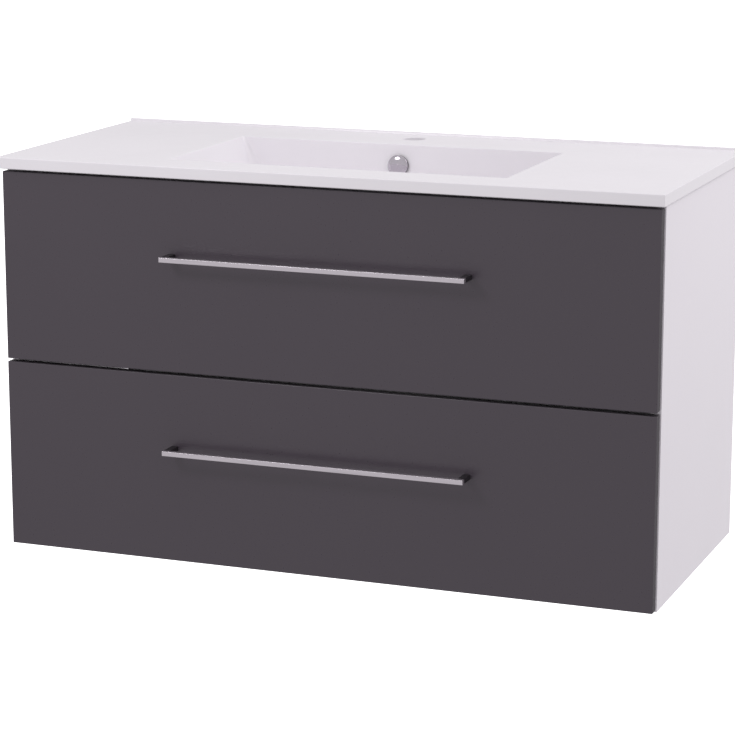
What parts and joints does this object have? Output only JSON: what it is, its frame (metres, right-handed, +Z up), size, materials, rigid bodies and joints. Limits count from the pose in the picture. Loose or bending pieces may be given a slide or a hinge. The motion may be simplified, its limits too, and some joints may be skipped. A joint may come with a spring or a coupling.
{
  "type": "wall-hung bathroom vanity cabinet",
  "caption": "Wall-hung bathroom vanity: a rectangular cast washbasin top over stacked full-width pull-out drawers with slim bar handles.",
  "frame": {"origin": "on the wall plane, at the middle of the cabinet's width, level with its underside", "axes": "+X along the width to the right as seen from the front, +Y into the wall, +Z up"},
  "size_m": [1.01, 0.485, 0.595],
  "materials": {
    "white_board": "white melamine-faced board with matching edging",
    "anthracite_board": "matt anthracite faced board",
    "grey_board": "light grey faced board",
    "cast_mineral": "cast mineral with a satin white gel coat",
    "chrome": "polished chrome",
    "brushed_metal": "brushed nickel",
    "zinc_steel": "bright zinc plated steel",
    "grey_steel": "light grey powder coated steel",
    "beech": "fluted beech",
    "soft_pad": "frosted soft plastic",
    "grey_plastic": "light grey moulded plastic"
  },
  "bodies": {
    "cabinet": {"side_panel_left": "white_board", "side_panel_right": "white_board", "bottom_panel": "white_board", "front_rail": "white_board", "hanging_rail": "white_board", "lower_back_rail": "white_board", "cam_discs": "zinc_steel", "cam_bolts": "zinc_steel", "dowels": "beech", "bumpers": "soft_pad", "washbasin": "cast_mineral", "overflow_channel": "cast_mineral", "overflow_ring": "chrome", "overflow_cap": "chrome", "hanger_housing_left": "grey_plastic", "hanger_housing_right": "grey_plastic", "hanger_hook_left": "zinc_steel", "hanger_hook_right": "zinc_steel", "hanger_screws": "zinc_steel", "wall_plate_left": "zinc_steel", "wall_plate_right": "zinc_steel", "cabinet_runner_upper_left": "zinc_steel", "cabinet_runner_upper_right": "zinc_steel", "cabinet_runner_lower_left": "zinc_steel", "cabinet_runner_lower_right": "zinc_steel", "runner_screws": "zinc_steel"},
    "upper_drawer": {"drawer_front_upper": "anthracite_board", "handle_bar_upper": "brushed_metal", "handle_posts_upper": "brushed_metal", "handle_screws_upper": "zinc_steel", "front_brackets_upper": "zinc_steel", "bracket_screws_upper": "zinc_steel", "drawer_side_upper_left": "grey_steel", "drawer_side_upper_right": "grey_steel", "drawer_runners_upper": "zinc_steel", "gallery_rods_upper": "grey_steel", "drawer_bottom_upper": "grey_board", "drawer_back_upper": "grey_board", "trap_surround": "grey_board"},
    "upper_middle_runners": {"middle_runners_upper": "zinc_steel"},
    "upper_outer_cages": {"outer_ball_cages_upper": "zinc_steel"},
    "upper_inner_cages": {"inner_ball_cages_upper": "zinc_steel"},
    "lower_drawer": {"drawer_front_lower": "anthracite_board", "handle_bar_lower": "brushed_metal", "handle_posts_lower": "brushed_metal", "handle_screws_lower": "zinc_steel", "front_brackets_lower": "zinc_steel", "bracket_screws_lower": "zinc_steel", "drawer_side_lower_left": "grey_steel", "drawer_side_lower_right": "grey_steel", "drawer_runners_lower": "zinc_steel", "gallery_rods_lower": "grey_steel", "drawer_bottom_lower": "grey_board", "drawer_back_lower": "grey_board"},
    "lower_middle_runners": {"middle_runners_lower": "zinc_steel"},
    "lower_outer_cages": {"outer_ball_cages_lower": "zinc_steel"},
    "lower_inner_cages": {"inner_ball_cages_lower": "zinc_steel"}
  },
  "joints": [
    {"name": "upper_drawer_slide", "type": "slide", "parent": "cabinet", "child": "upper_drawer", "axis": [0, -1, 0], "range_m": [0, 0.33]},
    {"name": "upper_middle_runners_slide", "type": "slide", "parent": "cabinet", "child": "upper_middle_runners", "axis": [0, -1, 0], "range_m": [0, 0.165]},
    {"name": "upper_outer_cages_slide", "type": "slide", "parent": "cabinet", "child": "upper_outer_cages", "axis": [0, -1, 0], "range_m": [0, 0.0825]},
    {"name": "upper_inner_cages_slide", "type": "slide", "parent": "cabinet", "child": "upper_inner_cages", "axis": [0, -1, 0], "range_m": [0, 0.2475]},
    {"name": "lower_drawer_slide", "type": "slide", "parent": "cabinet", "child": "lower_drawer", "axis": [0, -1, 0], "range_m": [0, 0.33]},
    {"name": "lower_middle_runners_slide", "type": "slide", "parent": "cabinet", "child": "lower_middle_runners", "axis": [0, -1, 0], "range_m": [0, 0.165]},
    {"name": "lower_outer_cages_slide", "type": "slide", "parent": "cabinet", "child": "lower_outer_cages", "axis": [0, -1, 0], "range_m": [0, 0.0825]},
    {"name": "lower_inner_cages_slide", "type": "slide", "parent": "cabinet", "child": "lower_inner_cages", "axis": [0, -1, 0], "range_m": [0, 0.2475]}
  ],
  "couplings": [
    {"joint": "upper_middle_runners_slide", "follows": "upper_drawer_slide", "ratio": 0.5},
    {"joint": "upper_outer_cages_slide", "follows": "upper_drawer_slide", "ratio": 0.25},
    {"joint": "upper_inner_cages_slide", "follows": "upper_drawer_slide", "ratio": 0.75},
    {"joint": "lower_middle_runners_slide", "follows": "lower_drawer_slide", "ratio": 0.5},
    {"joint": "lower_outer_cages_slide", "follows": "lower_drawer_slide", "ratio": 0.25},
    {"joint": "lower_inner_cages_slide", "follows": "lower_drawer_slide", "ratio": 0.75}
  ]
}
